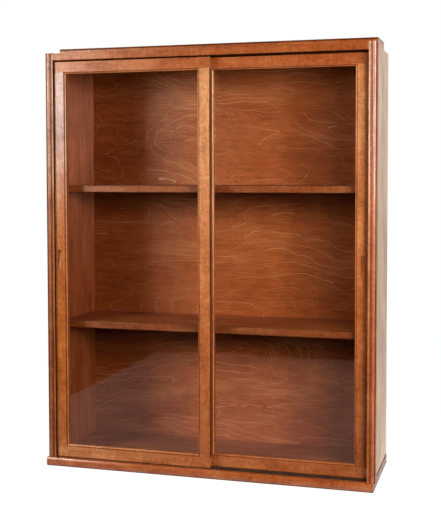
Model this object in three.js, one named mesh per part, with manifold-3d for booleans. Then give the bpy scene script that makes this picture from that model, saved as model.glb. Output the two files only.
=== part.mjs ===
// Bookcase with two glazed sliding doors: a nosed base board, two sides with fluted posts,
// two shelves and a crown board set back on top. Millimetres, +Z up, the front towards -Y.
import * as THREE from "three";
import { mergeVertices } from "three/addons/utils/BufferGeometryUtils.js";
import Module from "manifold-3d";

const wasm = await Module();
wasm.setup();

// Carcass
const postSpan = 940; // over the outer faces of the two posts
const carcassDepth = 298; // from the face of the posts to the back edges of the sides
const overallHeight = 1202;
const sideThickness = 16;
const tongueThickness = 5;
const tongueDepth = 6;
const jointGap = 0.3; // between a tongue or tenon and its groove or mortise
const edgeRound = 1; // worn arris of a board

// Base board
const baseHeight = 24;
const baseFrontOverhang = 6; // beyond the face of the posts
const baseLeftOverhang = 4; // beyond the outer face of the left post
const baseRightProud = 1.5; // beyond the outer face of the right side panel
const baseNoseRise = 4;
const baseCornerRadius = 1.5;

// Fluted posts
const postWidth = 23;
const postDepth = 22;
const postProud = 1.5; // above the top of the sides
const innerReedWidth = 5;
const fluteWidth = 6.3;
const outerReedWidth = 7.7;
const reedRise = 1.5;
const fluteDepth = 2;
const shoulderDrop = 0.8; // from the foot of the outer reed to the shoulder
const shoulderRadius = 1.2; // of the shoulder's outer arris

// Top board, front rail and crown board
const topThickness = 19;
const frontRailHeight = 20;
const frontRailThickness = 11;
const frontRailSetback = 1; // behind the face of the posts
const frontRailRound = 2.5;
const crownHeight = 21.5;
const crownDepth = 120;
const crownSetback = 80; // behind the face of the posts
const crownInset = 1; // inside the outer faces of the sides
const crownRound = 2;

// Back panel and its screws
const backThickness = 6;
const backInset = 2; // from the back edges of the sides
const backLap = 9; // how far the panel reaches into each side's rebate
const backGap = 0.3;
const screwHeadRadius = 3.4;
const screwHeadDepth = 2.4;
const screwRadius = 1.5;
const screwLength = 20;
const screwGap = 0.25;
const screwSlotWidth = 0.9;
const screwSlotDepth = 1;
const sideScrewShares = [0.1, 0.5, 0.9]; // of the height of the back panel
const topScrewShares = [0.12, 0.37, 0.63, 0.88]; // of the width between the sides

// Interior floor
const floorThickness = 9;
const floorTrackGap = 1; // between the lower track and the interior floor

// Shelves and their pins
const shelfThickness = 19;
const upperShelfTop = 806.5;
const lowerShelfTop = 412.5;
const shelfSetback = 66; // behind the face of the posts
const shelfEndGap = 0.5;
const shelfBackGap = 1;
const lippingDepth = 8;
const lippingRound = 1.5;
const pinShankRadius = 2.5;
const pinShankLength = 10;
const pinHoleGap = 0.2;
const pegRadius = 3;
const pegLength = 9;
const pegSeatGap = 0.2;
const pegSideGap = 0.5;
const pegTipRound = 1;
const pinInset = 35; // from the shelf's front and back edges to a pin's axis

// Doors
const doorSetback = 9; // behind the face of the posts
const doorThickness = 18;
const doorGap = 4; // between the two doors
const doorOverlap = 27; // of the two doors when both are shut
const doorStopGap = 0.5; // between a shut door and its post
const doorAjar = 3; // how far the right door stands short of shut
const doorTopGap = 4.7; // between the doors' shoulders and the top board
const faceWidth = 29; // flat face of a rail or stile
const beadWidth = 5.5; // moulded inner edge of a rail or stile
const beadQuirk = 1.2;
const beadFillet = 0.8;
const beadFall = 4.5;
const glassDepth = 8; // from the door's face to the glass
const glassThickness = 4;
const rebateLap = 3; // how far the glass rebate reaches behind the flat face
const glassEdgeGap = 1;
const stopRound = 3.5;
const stopSideGap = 0.3;
const mitreGap = 0.1;
const tenonThickness = 7;
const tenonWidth = 15;
const tenonLength = 15;
const pullInset = 12.5; // from the door's outer edge to the middle of the finger pull
const pullWidth = 12;
const pullHeight = 58;
const pullRise = 2; // of its middle above the middle of the door
const pullEndRadius = 5.8;
const pullFootDepth = 2.5;
const pullHeadDepth = 8; // the floor slopes to the upper end
const pullFloorRound = 3;

// Tracks: a ribbed strip under the doors and two lined grooves above them
const trackFrontSetback = 1; // of the strip, behind the face of the front door
const trackRearMargin = 2; // of the strip, behind the rear door
const trackThickness = 2.5;
const ribWidth = 4;
const ribHeight = 3;
const ribRound = 1;
const doorLift = 0.6; // between the strip and the underside of a door
const glideGrooveWidth = 6;
const glideGrooveDepth = 6;
const glideLength = 40;
const glideSideGap = 0.2;
const glideSeatGap = 0.3;
const glideEndRise = 1.5;
const glideInset = 45; // from the end of a door to the middle of a glide
const spigotRadius = 2.5;
const spigotLength = 8;
const channelWidth = 10;
const channelHeight = 12;
const channelWall = 1;
const doorTongueThickness = 6.5;
const doorTongueInChannel = 5.5;

// How finely round forms are divided, and how far a cutter passes a face
const arcSteps = 6;
const turnSteps = 16;
const overrun = 2;

// Places that follow from the sizes above
const halfSpan = postSpan / 2;
const halfClear = halfSpan - postWidth; // to the inner faces of the sides and posts
const clearWidth = 2 * halfClear;
const rearY = (carcassDepth + baseFrontOverhang) / 2;
const faceY = rearY - carcassDepth; // face of the posts
const postRearY = faceY + postDepth;
const backRearY = rearY - backInset;
const backFrontY = backRearY - backThickness;
const carcassTop = overallHeight - crownHeight;
const topUnderside = carcassTop - topThickness;
const railRearY = faceY + frontRailSetback + frontRailThickness;
const frontDoorY = faceY + doorSetback;
const rearDoorY = frontDoorY + doorThickness + doorGap;
const trackFrontY = frontDoorY + trackFrontSetback;
const trackRearY = rearDoorY + doorThickness + trackRearMargin;
const runnerPlanes = [frontDoorY + doorThickness / 2, rearDoorY + doorThickness / 2];
const trackTop = baseHeight + trackThickness;
const doorFoot = trackTop + doorLift;
const doorWidth = (clearWidth - 2 * doorStopGap + doorOverlap) / 2;
const doorHeight = topUnderside - doorTopGap - doorFoot;
const memberWidth = faceWidth + beadWidth;
const rebateStart = faceWidth - rebateLap;
const glassRear = glassDepth + glassThickness;
const shelfFrontY = faceY + shelfSetback;
const boardFrontY = shelfFrontY + lippingDepth;
const shelfRearY = backFrontY - shelfBackGap;
const screwPlane = halfClear + backLap / 2;
const topScrewHeight = carcassTop - topThickness / 2;

// Finishes
const birchFace = { color: 0xb4682f, roughness: 0.38, metalness: 0 };
const birchPanel = { color: 0xa35c2e, roughness: 0.45, metalness: 0 };
const birchPly = { color: 0x96532b, roughness: 0.5, metalness: 0 };
const clearGlass = { color: 0xe4ece8, roughness: 0.04, metalness: 0, transparent: true, opacity: 0.3 };
const darkPlastic = { color: 0x241a16, roughness: 0.42, metalness: 0 };
const brightSteel = { color: 0xb9b6ae, roughness: 0.32, metalness: 0.9 };

const bookcase = new THREE.Group();

function place(parent, name, geometry, finish) {
  const mesh = new THREE.Mesh(geometry, new THREE.MeshStandardMaterial(finish));
  mesh.name = name;
  parent.add(mesh);
}

const point = (a, b) => new THREE.Vector2(a, b);

// A solid between two limits on each axis.
function block([x0, x1], [y0, y1], [z0, z1]) {
  const geometry = new THREE.BoxGeometry(x1 - x0, y1 - y0, z1 - z0);
  return geometry.translate((x0 + x1) / 2, (y0 + y1) / 2, (z0 + z1) / 2);
}

// An outline pushed along one axis. It is drawn in (y, z) for x, (x, z) for y and (x, y) for z.
const turnToX = new THREE.Matrix4().set(0, 0, 1, 0, 1, 0, 0, 0, 0, 1, 0, 0, 0, 0, 0, 1);
const turnToY = new THREE.Matrix4().set(1, 0, 0, 0, 0, 0, -1, 0, 0, 1, 0, 0, 0, 0, 0, 1);

function prism(points, axis, [from, to]) {
  const shape = new THREE.Shape(points);
  const geometry = new THREE.ExtrudeGeometry(shape, { depth: to - from, bevelEnabled: false });
  if (axis === "y") {
    return geometry.translate(0, 0, -to).applyMatrix4(turnToY);
  }
  geometry.translate(0, 0, from);
  return axis === "x" ? geometry.applyMatrix4(turnToX) : geometry;
}

// A solid of revolution about one axis, from a profile of [radius, distance along].
function turned(profile, axis) {
  const points = profile.map(([radius, along]) => point(radius, along));
  const geometry = new THREE.LatheGeometry(points, turnSteps);
  if (axis === "x") {
    return geometry.rotateZ(-Math.PI / 2);
  }
  return axis === "z" ? geometry.rotateX(Math.PI / 2) : geometry;
}

// The points of an arc from a to b that rises to the right of the way there, without a itself.
function bow(a, b, rise) {
  const chord = b.clone().sub(a);
  const half = chord.length() / 2;
  const radius = (half * half + rise * rise) / (2 * Math.abs(rise));
  const sweep = Math.asin(half / radius);
  const along = chord.normalize();
  const outward = new THREE.Vector2(along.y, -along.x).multiplyScalar(Math.sign(rise));
  const middle = a.clone().add(b).multiplyScalar(0.5);
  return Array.from({ length: arcSteps }, (_, step) => {
    const angle = sweep * ((2 * (step + 1)) / arcSteps - 1);
    const lift = radius * Math.cos(angle) - (radius - Math.abs(rise));
    return middle
      .clone()
      .addScaledVector(along, radius * Math.sin(angle))
      .addScaledVector(outward, lift);
  });
}

// An outline from corners of [x, y, radius]. A corner with a radius becomes an arc.
function outline(corners) {
  const at = (index) => {
    const [x, y] = corners[(index + corners.length) % corners.length];
    return point(x, y);
  };
  return corners.flatMap(([, , radius], index) => {
    const corner = at(index);
    if (!radius) {
      return [corner];
    }
    const back = at(index - 1).sub(corner).normalize();
    const ahead = at(index + 1).sub(corner).normalize();
    const halfAngle = Math.acos(back.dot(ahead)) / 2;
    const reach = radius / Math.tan(halfAngle);
    const start = corner.clone().addScaledVector(back, reach);
    const end = corner.clone().addScaledVector(ahead, reach);
    const side = Math.sign(ahead.cross(back));
    return [start, ...bow(start, end, side * radius * (1 - Math.sin(halfAngle)))];
  });
}

function solidOf(geometry) {
  const bare = geometry.clone();
  bare.deleteAttribute("normal");
  bare.deleteAttribute("uv");
  const merged = mergeVertices(bare);
  const vertProperties = Float32Array.from(merged.attributes.position.array);
  const triVerts = Uint32Array.from(merged.index.array);
  return new wasm.Manifold(new wasm.Mesh({ numProp: 3, vertProperties, triVerts }));
}

function geometryOf(solid) {
  const { vertProperties, triVerts } = solid.getMesh();
  const geometry = new THREE.BufferGeometry();
  geometry.setAttribute("position", new THREE.BufferAttribute(vertProperties, 3));
  geometry.setIndex(new THREE.BufferAttribute(triVerts, 1));
  const faceted = geometry.toNonIndexed();
  faceted.computeVertexNormals();
  return faceted;
}

function cut(geometry, cutters) {
  const rest = cutters.reduce((solid, cutter) => solid.subtract(solidOf(cutter)), solidOf(geometry));
  return geometryOf(rest);
}

function join(geometries) {
  const [first, ...others] = geometries.map(solidOf);
  return geometryOf(others.reduce((solid, other) => solid.add(other), first));
}

function common(geometries) {
  const [first, ...others] = geometries.map(solidOf);
  return geometryOf(others.reduce((solid, other) => solid.intersect(other), first));
}

// Base board: one board with a rounded nose along its front and flat ends. It stands out past the
// left post and ends level with the right side panel.
function baseBoard() {
  const leftX = -halfSpan - baseLeftOverhang;
  const rightX = halfClear + sideThickness + baseRightProud;
  const frontY = faceY - baseFrontOverhang;
  const noseY = frontY + baseNoseRise;
  const section = [
    point(rearY, baseHeight),
    point(noseY, baseHeight),
    ...bow(point(noseY, baseHeight), point(noseY, 0), baseNoseRise),
    point(rearY, 0),
  ];
  const plan = outline([
    [leftX, frontY, baseCornerRadius],
    [rightX, frontY, baseCornerRadius],
    [rightX, rearY],
    [leftX, rearY],
  ]);
  return common([prism(section, "x", [leftX, rightX]), prism(plan, "z", [0, baseHeight])]);
}

place(bookcase, "base_board", baseBoard(), birchFace);

// Fluted post: two reeds with a flute between them, a low outer shoulder, and a groove
// behind for the tongue of the side. Drawn for the right-hand side.
const tongueMiddle = halfClear + sideThickness / 2;

function postOutline() {
  const footY = faceY + reedRise;
  const at = (across, y) => point(halfClear + across, y);
  const fluteStart = innerReedWidth;
  const fluteEnd = fluteStart + fluteWidth;
  const reedEnd = fluteEnd + outerReedWidth;
  const shoulderY = footY + shoulderDrop;
  const grooveHalf = tongueThickness / 2 + jointGap;
  const grooveFloorY = postRearY - tongueDepth - jointGap;
  return [
    at(0, footY),
    ...bow(at(0, footY), at(fluteStart, footY), reedRise),
    ...bow(at(fluteStart, footY), at(fluteEnd, footY), -fluteDepth),
    ...bow(at(fluteEnd, footY), at(reedEnd, footY), reedRise),
    ...outline([
      [halfClear + reedEnd, shoulderY],
      [halfSpan, shoulderY, shoulderRadius],
      [halfSpan, postRearY],
      [tongueMiddle + grooveHalf, postRearY],
      [tongueMiddle + grooveHalf, grooveFloorY],
      [tongueMiddle - grooveHalf, grooveFloorY],
      [tongueMiddle - grooveHalf, postRearY],
      [halfClear, postRearY],
    ]),
  ];
}

// Side panel: a tongue in front for the post, and a rebate behind for the back panel.
function sideOutline() {
  const outerX = halfClear + sideThickness;
  const tongueHalf = tongueThickness / 2;
  return outline([
    [halfClear, postRearY],
    [tongueMiddle - tongueHalf, postRearY],
    [tongueMiddle - tongueHalf, postRearY - tongueDepth],
    [tongueMiddle + tongueHalf, postRearY - tongueDepth],
    [tongueMiddle + tongueHalf, postRearY],
    [outerX, postRearY],
    [outerX, rearY, edgeRound],
    [halfClear + backLap, rearY],
    [halfClear + backLap, backFrontY],
    [halfClear, backFrontY],
  ]);
}

const mirrored = (points, side) => points.map(({ x, y }) => point(side * x, y));

// Shelf pins stand in the sides, and the shelves' ends are slotted over their pegs.
const pinHoleRadius = pinShankRadius + pinHoleGap;
const slotHeight = 2 * pegRadius + 2 * pegSeatGap;
const pinPlanes = [shelfFrontY + pinInset, shelfRearY - pinInset];
const shelves = [
  { name: "upper_shelf", top: upperShelfTop },
  { name: "lower_shelf", top: lowerShelfTop },
];
const pinHeight = (shelf) => shelf.top - shelfThickness + slotHeight - pegSeatGap - pegRadius;

function pinHole(side, shelf, y) {
  const depth = pinShankLength + pinHoleGap;
  const profile = [[0, -overrun], [pinHoleRadius, -overrun], [pinHoleRadius, depth], [0, depth]];
  const hole = turned(profile, "x");
  if (side < 0) {
    hole.rotateZ(Math.PI);
  }
  return hole.translate(side * halfClear, y, pinHeight(shelf));
}

// A round hole that runs forwards from a mouth facing the back.
function screwHole(x, z, from, depth, radius) {
  const profile = [[0, -depth], [radius, -depth], [radius, overrun], [0, overrun]];
  return turned(profile, "y").translate(x, from, z);
}

const backTop = carcassTop - backGap;
const sideScrewHeights = sideScrewShares.map((share) => baseHeight + share * (backTop - baseHeight));
const topScrewPlaces = topScrewShares.map((share) => -halfClear + share * clearWidth);
const screwGrip = screwLength - backThickness + screwGap;

function sidePanel(side) {
  const panel = prism(mirrored(sideOutline(), side), "z", [baseHeight, carcassTop]);
  const pinHoles = shelves.flatMap((shelf) => pinPlanes.map((y) => pinHole(side, shelf, y)));
  const radius = screwRadius + screwGap;
  const screwHoles = sideScrewHeights.map((z) => {
    return screwHole(side * screwPlane, z, backFrontY, screwGrip, radius);
  });
  return cut(panel, [...pinHoles, ...screwHoles]);
}

for (const [label, side] of [["left", -1], ["right", 1]]) {
  const post = prism(mirrored(postOutline(), side), "z", [baseHeight, carcassTop + postProud]);
  place(bookcase, `${label}_post`, post, birchFace);
  place(bookcase, `${label}_side_panel`, sidePanel(side), birchPanel);
}

// Top board: butts between the sides, with two grooves underneath for the channels.
function topBoard() {
  const half = channelWidth / 2;
  const grooveTop = topUnderside + channelHeight;
  const grooves = runnerPlanes.flatMap((y) => [
    [y - half, topUnderside],
    [y - half, grooveTop],
    [y + half, grooveTop],
    [y + half, topUnderside],
  ]);
  const section = outline([
    [railRearY, topUnderside],
    ...grooves,
    [backFrontY, topUnderside],
    [backFrontY, carcassTop],
    [railRearY, carcassTop],
  ]);
  const holes = topScrewPlaces.map((x) => {
    return screwHole(x, topScrewHeight, backFrontY, screwGrip, screwRadius + screwGap);
  });
  return cut(prism(section, "x", [-halfClear, halfClear]), holes);
}

place(bookcase, "top_board", topBoard(), birchPanel);

// Plastic channels line the grooves, open downwards for the doors' tongues.
function channel(y) {
  const outer = channelWidth / 2;
  const inner = outer - channelWall;
  const roof = topUnderside + channelHeight;
  const section = outline([
    [y - outer, topUnderside],
    [y - outer, roof],
    [y + outer, roof],
    [y + outer, topUnderside],
    [y + inner, topUnderside],
    [y + inner, roof - channelWall],
    [y - inner, roof - channelWall],
    [y - inner, topUnderside],
  ]);
  return prism(section, "x", [-halfClear, halfClear]);
}

place(bookcase, "front_upper_channel", channel(runnerPlanes[0]), darkPlastic);
place(bookcase, "rear_upper_channel", channel(runnerPlanes[1]), darkPlastic);

// Front rail: covers the front edge of the top board between the posts.
function frontRail() {
  const frontY = faceY + frontRailSetback;
  const foot = carcassTop - frontRailHeight;
  const section = outline([
    [frontY, foot, frontRailRound],
    [railRearY, foot],
    [railRearY, carcassTop],
    [frontY, carcassTop, edgeRound],
  ]);
  return prism(section, "x", [-halfClear, halfClear]);
}

place(bookcase, "front_rail", frontRail(), birchFace);

// Crown board: stands on the top board and the sides, its upper arrises rounded all round.
function crownBoard() {
  const halfWidth = halfClear + sideThickness - crownInset;
  const frontY = faceY + crownSetback;
  const endY = frontY + crownDepth;
  const section = outline([
    [frontY, carcassTop],
    [endY, carcassTop],
    [endY, overallHeight, crownRound],
    [frontY, overallHeight, crownRound],
  ]);
  const elevation = outline([
    [-halfWidth, carcassTop],
    [halfWidth, carcassTop],
    [halfWidth, overallHeight, crownRound],
    [-halfWidth, overallHeight, crownRound],
  ]);
  return common([prism(section, "x", [-halfWidth, halfWidth]), prism(elevation, "y", [frontY, endY])]);
}

place(bookcase, "crown_board", crownBoard(), birchFace);

// Interior floor: lies on the base board behind the lower track.
function interiorFloor() {
  const frontY = trackRearY + floorTrackGap;
  const top = baseHeight + floorThickness;
  const section = outline([
    [frontY, baseHeight],
    [backFrontY, baseHeight],
    [backFrontY, top],
    [frontY, top, edgeRound],
  ]);
  return prism(section, "x", [-halfClear, halfClear]);
}

place(bookcase, "interior_floor", interiorFloor(), birchPanel);

// Back panel: stands on the base board in the rebates of the sides, held by countersunk screws.
function countersink(x, z) {
  const wide = screwHeadRadius + screwGap;
  const narrow = screwRadius + screwGap;
  const through = -backThickness - overrun;
  const headFoot = -screwHeadDepth - screwGap;
  const shaft = [[0, through], [narrow, through], [narrow, headFoot]];
  const head = [[wide, 0], [wide, overrun], [0, overrun]];
  return turned([...shaft, ...head], "y").translate(x, backRearY, z);
}

const screwPlaces = [
  ...sideScrewHeights.map((z, index) => ({ name: `back_screw_left_${index + 1}`, x: -screwPlane, z })),
  ...sideScrewHeights.map((z, index) => ({ name: `back_screw_right_${index + 1}`, x: screwPlane, z })),
  ...topScrewPlaces.map((x, index) => ({ name: `back_screw_top_${index + 1}`, x, z: topScrewHeight })),
];

function backPanel() {
  const half = halfClear + backLap - backGap;
  const panel = block([-half, half], [backFrontY, backRearY], [baseHeight, backTop]);
  return cut(panel, screwPlaces.map(({ x, z }) => countersink(x, z)));
}

function backScrew() {
  const tip = [[0, -screwLength], [screwRadius, screwRadius - screwLength]];
  const head = [[screwRadius, -screwHeadDepth], [screwHeadRadius, 0], [0, 0]];
  const screw = turned([...tip, ...head], "y");
  const slotHalf = screwSlotWidth / 2;
  const slotReach = screwHeadRadius + overrun;
  const slot = block([-slotHalf, slotHalf], [-screwSlotDepth, overrun], [-slotReach, slotReach]);
  return cut(screw, [slot]);
}

place(bookcase, "back_panel", backPanel(), birchPly);
for (const { name, x, z } of screwPlaces) {
  place(bookcase, name, backScrew().translate(x, backRearY, z), brightSteel);
}

// Shelves: a board with four slots underneath for the pegs, and a lipping along its front.
const slotHalfWidth = pegRadius + pegSideGap;
const slotLength = pegLength - shelfEndGap + pegSideGap;
const shelfHalf = halfClear - shelfEndGap;

function pegSlot(side, y, underside) {
  const ends = [side * (shelfHalf - slotLength), side * (shelfHalf + overrun)].sort((a, b) => a - b);
  return block(ends, [y - slotHalfWidth, y + slotHalfWidth], [underside - overrun, underside + slotHeight]);
}

function shelfBoard(top) {
  const underside = top - shelfThickness;
  const board = block([-shelfHalf, shelfHalf], [boardFrontY, shelfRearY], [underside, top]);
  const slots = [-1, 1].flatMap((side) => pinPlanes.map((y) => pegSlot(side, y, underside)));
  return cut(board, slots);
}

function shelfLipping(top) {
  const underside = top - shelfThickness;
  const section = outline([
    [shelfFrontY, underside, lippingRound],
    [boardFrontY, underside],
    [boardFrontY, top],
    [shelfFrontY, top, lippingRound],
  ]);
  return prism(section, "x", [-shelfHalf, shelfHalf]);
}

function shelfPin(side, shelf, y) {
  const shoulder = pinShankLength;
  const tip = shoulder + pegLength;
  const pin = turned(
    [
      [0, 0],
      [pinShankRadius, 0],
      [pinShankRadius, shoulder],
      [pegRadius, shoulder],
      [pegRadius, tip - pegTipRound],
      [pegRadius - pegTipRound, tip],
      [0, tip],
    ],
    "x",
  );
  if (side > 0) {
    pin.rotateZ(Math.PI);
  }
  return pin.translate(side * (halfClear + pinShankLength), y, pinHeight(shelf));
}

for (const shelf of shelves) {
  place(bookcase, `${shelf.name}_board`, shelfBoard(shelf.top), birchPanel);
  place(bookcase, `${shelf.name}_lipping`, shelfLipping(shelf.top), birchFace);
  for (const [label, side] of [["left", -1], ["right", 1]]) {
    place(bookcase, `${shelf.name}_pin_${label}_front`, shelfPin(side, shelf, pinPlanes[0]), brightSteel);
    place(bookcase, `${shelf.name}_pin_${label}_rear`, shelfPin(side, shelf, pinPlanes[1]), brightSteel);
  }
}

// Lower track: a strip on the base board with a rounded rib for each door to run on.
function lowerTrack() {
  const half = ribWidth / 2;
  const ribTop = trackTop + ribHeight;
  const ribs = runnerPlanes.flatMap((y) => [
    [y - half, trackTop],
    [y - half, ribTop, ribRound],
    [y + half, ribTop, ribRound],
    [y + half, trackTop],
  ]);
  const section = outline([
    [trackFrontY, baseHeight],
    [trackFrontY, trackTop, edgeRound],
    ...ribs,
    [trackRearY, trackTop],
    [trackRearY, baseHeight],
  ]);
  return prism(section, "x", [-halfClear, halfClear]);
}

place(bookcase, "lower_track", lowerTrack(), darkPlastic);

// Doors. Each is drawn from its lower left corner, x across, y from its face backwards, z up.
// The pieces of one edge, drawn along the bottom, are turned onto the other three.
const onTop = (geometry) => geometry.rotateY(Math.PI).translate(doorWidth, 0, doorHeight);
const onLeft = (geometry) => geometry.rotateY(Math.PI / 2).translate(0, 0, doorHeight);
const onRight = (geometry) => geometry.rotateY(-Math.PI / 2).translate(doorWidth, 0, 0);

// A moulding along the bottom edge, its section in (depth, distance from the door's edge),
// with both ends mitred.
function mitred(section, length) {
  const moulding = prism(section, "x", [0, length]);
  const position = moulding.attributes.position;
  for (let index = 0; index < position.count; index += 1) {
    const setIn = position.getZ(index) + mitreGap;
    position.setX(index, position.getX(index) < length / 2 ? setIn : length - setIn);
  }
  return moulding;
}

function faceBead(length) {
  const start = point(beadQuirk, faceWidth + beadFillet);
  const end = point(beadQuirk + beadFall, memberWidth);
  const round = Math.min(beadFall, beadWidth - beadFillet) * (1 - Math.SQRT1_2);
  const section = [
    point(beadQuirk, faceWidth),
    start,
    ...bow(start, end, -round),
    point(glassDepth, memberWidth),
    point(glassDepth, faceWidth),
  ];
  return mitred(section, length);
}

function glazingBead(length) {
  const section = outline([
    [glassRear, rebateStart + stopSideGap],
    [doorThickness, rebateStart + stopSideGap],
    [doorThickness, memberWidth, stopRound],
    [glassRear, memberWidth],
  ]);
  return mitred(section, length);
}

const tenonFrom = (rebateStart - tenonWidth) / 2;
const tenonSpan = [tenonFrom, tenonFrom + tenonWidth];
const tenonDepths = [(doorThickness - tenonThickness) / 2, (doorThickness + tenonThickness) / 2];
const eased = ([from, to]) => [from - jointGap, to + jointGap];

function rail() {
  const bar = block([0, doorWidth], [0, doorThickness], [0, faceWidth]);
  const behindGlass = [glassDepth, doorThickness + overrun];
  const rebateWidths = [rebateStart, doorWidth - rebateStart];
  const rebate = block(rebateWidths, behindGlass, [rebateStart, faceWidth + overrun]);
  const mortiseHeights = [faceWidth - tenonLength - jointGap, faceWidth + overrun];
  const [near, far] = eased(tenonSpan);
  const mortises = [[near, far], [doorWidth - far, doorWidth - near]].map((span) => {
    return block(span, eased(tenonDepths), mortiseHeights);
  });
  return join([cut(bar, [rebate, ...mortises]), faceBead(doorWidth)]);
}

function stile() {
  const bar = block([0, faceWidth], [0, doorThickness], [faceWidth, doorHeight - faceWidth]);
  const behindGlass = [glassDepth, doorThickness + overrun];
  const rebate = block([rebateStart, faceWidth + overrun], behindGlass, [0, doorHeight]);
  const tenonHeights = [faceWidth - tenonLength, doorHeight - faceWidth + tenonLength];
  const tenons = block(tenonSpan, tenonDepths, tenonHeights);
  return join([cut(bar, [rebate]), tenons, onLeft(faceBead(doorHeight))]);
}

// Finger pull: a round-ended pocket with rounded long edges at its floor, which slopes towards
// the end where it is deep.
function pullPocket(deepAbove) {
  const across = [pullInset - pullWidth / 2, pullInset + pullWidth / 2];
  const rise = deepAbove ? pullRise : -pullRise;
  const foot = (doorHeight - pullHeight) / 2 + rise;
  const upward = [foot, foot + pullHeight];
  const mouth = outline([
    [across[0], upward[0], pullEndRadius],
    [across[1], upward[0], pullEndRadius],
    [across[1], upward[1], pullEndRadius],
    [across[0], upward[1], pullEndRadius],
  ]);
  const section = outline([
    [across[0], -overrun],
    [across[1], -overrun],
    [across[1], pullHeadDepth, pullFloorRound],
    [across[0], pullHeadDepth, pullFloorRound],
  ]);
  const [low, high] = upward;
  const slope = [
    point(-overrun, low),
    point(deepAbove ? pullFootDepth : pullHeadDepth, low),
    point(deepAbove ? pullHeadDepth : pullFootDepth, high),
    point(-overrun, high),
  ];
  const depths = [-overrun, pullHeadDepth];
  return common([prism(mouth, "y", depths), prism(section, "z", upward), prism(slope, "x", across)]);
}

const grooveDepths = [(doorThickness - glideGrooveWidth) / 2, (doorThickness + glideGrooveWidth) / 2];
const glidePlaces = [glideInset, doorWidth - glideInset];

function bottomRail() {
  const groove = block([-overrun, doorWidth + overrun], grooveDepths, [-overrun, glideGrooveDepth]);
  const radius = spigotRadius + pinHoleGap;
  const holeTop = glideGrooveDepth + spigotLength + pinHoleGap;
  const holes = glidePlaces.map((x) => {
    const hole = turned([[0, 0], [radius, 0], [radius, holeTop], [0, holeTop]], "z");
    return hole.translate(x, doorThickness / 2, 0);
  });
  return cut(rail(), [groove, ...holes]);
}

function topRail() {
  const half = doorTongueThickness / 2;
  const tongueTop = doorHeight + doorTopGap + doorTongueInChannel;
  const depths = [doorThickness / 2 - half, doorThickness / 2 + half];
  const tongue = block([0, doorWidth], depths, [doorHeight - overrun, tongueTop]);
  return join([onTop(rail()), tongue]);
}

// Glide: a bar in the bottom rail's groove, held by a spigot, that rides on the track's rib.
function glide(x) {
  const half = glideLength / 2;
  const foot = ribHeight - doorLift + glideSeatGap;
  const bar = outline([
    [-half, foot, glideEndRise],
    [half, foot, glideEndRise],
    [half, glideGrooveDepth],
    [-half, glideGrooveDepth],
  ]);
  const depths = [grooveDepths[0] + glideSideGap, grooveDepths[1] - glideSideGap];
  const from = (foot + glideGrooveDepth) / 2;
  const to = glideGrooveDepth + spigotLength;
  const spigot = turned([[0, from], [spigotRadius, from], [spigotRadius, to], [0, to]], "z");
  spigot.translate(0, doorThickness / 2, 0);
  return join([prism(bar, "y", depths), spigot]).translate(x, 0, 0);
}

function glass() {
  const edge = rebateStart + glassEdgeGap;
  return block([edge, doorWidth - edge], [glassDepth, glassRear], [edge, doorHeight - edge]);
}

function addDoor(label, corner, outerOnLeft) {
  const door = new THREE.Group();
  door.position.copy(corner);
  const outerStile = cut(stile(), [pullPocket(outerOnLeft)]);
  const toOuter = (geometry) => (outerOnLeft ? geometry : onTop(geometry));
  const toInner = (geometry) => (outerOnLeft ? onTop(geometry) : geometry);
  place(door, `${label}_top_rail`, topRail(), birchFace);
  place(door, `${label}_bottom_rail`, bottomRail(), birchFace);
  place(door, `${label}_outer_stile`, toOuter(outerStile), birchFace);
  place(door, `${label}_inner_stile`, toInner(stile()), birchFace);
  place(door, `${label}_glass`, glass(), clearGlass);
  place(door, `${label}_glazing_bead_bottom`, glazingBead(doorWidth), birchFace);
  place(door, `${label}_glazing_bead_top`, onTop(glazingBead(doorWidth)), birchFace);
  place(door, `${label}_glazing_bead_left`, onLeft(glazingBead(doorHeight)), birchFace);
  place(door, `${label}_glazing_bead_right`, onRight(glazingBead(doorHeight)), birchFace);
  place(door, `${label}_glide_left`, glide(glidePlaces[0]), darkPlastic);
  place(door, `${label}_glide_right`, glide(glidePlaces[1]), darkPlastic);
  bookcase.add(door);
}

const leftCorner = new THREE.Vector3(-halfClear + doorStopGap, frontDoorY, doorFoot);
const rightCornerX = halfClear - doorStopGap - doorAjar - doorWidth;
const rightCorner = new THREE.Vector3(rightCornerX, rearDoorY, doorFoot);
addDoor("left_door", leftCorner, true);
addDoor("right_door", rightCorner, false);

// The middle of the whole width, from the base board's left end to the right post, is at x = 0.
bookcase.position.setX(baseLeftOverhang / 2);

export default bookcase;
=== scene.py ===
import math

import bpy
from mathutils import Matrix, Vector


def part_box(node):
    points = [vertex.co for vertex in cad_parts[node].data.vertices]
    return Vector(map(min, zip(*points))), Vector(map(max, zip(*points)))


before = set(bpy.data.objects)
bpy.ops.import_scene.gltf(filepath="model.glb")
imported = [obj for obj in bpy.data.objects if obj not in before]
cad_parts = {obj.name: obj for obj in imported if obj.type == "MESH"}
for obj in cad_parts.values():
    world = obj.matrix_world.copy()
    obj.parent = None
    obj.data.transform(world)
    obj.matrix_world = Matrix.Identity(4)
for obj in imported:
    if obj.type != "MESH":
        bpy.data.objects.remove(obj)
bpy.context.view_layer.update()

# The camera: a long lens to the right of the middle, a little above the bookcase's half height
CAMERA_PLACE = Vector((0.80344, -2.74964, 0.84084))
CAMERA_YAW = math.radians(16.06)
CAMERA_PITCH = math.radians(-2.69)
CAMERA_ROLL = math.radians(-0.10)
SENSOR_WIDTH = 36.0
FOCAL_LENGTH = 70.294
SHIFT_X = -0.0030
SHIFT_Y = -0.0696

# The studio
TABLE_LEFT = -0.786
TABLE_RIGHT = 2.6
TABLE_FRONT = -1.9
TABLE_REAR = 2.6
TABLE_WHITE = 0.94
TABLE_GREY = (0.16, 0.16, 0.16, 1.0)
WHITE = (1.0, 1.0, 1.0, 1.0)
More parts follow.
